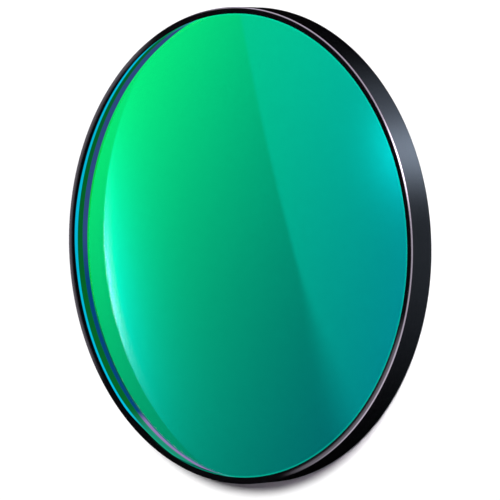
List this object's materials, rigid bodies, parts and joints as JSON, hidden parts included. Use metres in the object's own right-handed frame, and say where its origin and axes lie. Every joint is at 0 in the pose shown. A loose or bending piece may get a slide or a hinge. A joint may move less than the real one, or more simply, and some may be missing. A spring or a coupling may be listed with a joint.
{
  "type": "optical bandpass filter",
  "caption": "Round unmounted optical bandpass filter: a plane-parallel glass disc with a mirror-like coating on its rear face and a blackened edge and entrance rim.",
  "frame": {"origin": "centre of the coated rear face, on which the filter lies", "axes": "+Z along the optical axis, out of the black-rimmed entrance face; +X and +Y across the disc, which is round, so that +X is the picture's right and +Y its up"},
  "size_m": [0.05, 0.05, 0.003],
  "materials": {
    "optical_glass": "polished, clear, anti-reflection coated",
    "black_lacquer": "semi-gloss black lacquer, finely streaked across the edge",
    "thin_film": "green to teal dielectric mirror"
  },
  "bodies": {
    "root": {"glass_substrate": "optical_glass", "edge_blackening": "black_lacquer", "bandpass_coating": "thin_film"}
  },
  "joints": []
}
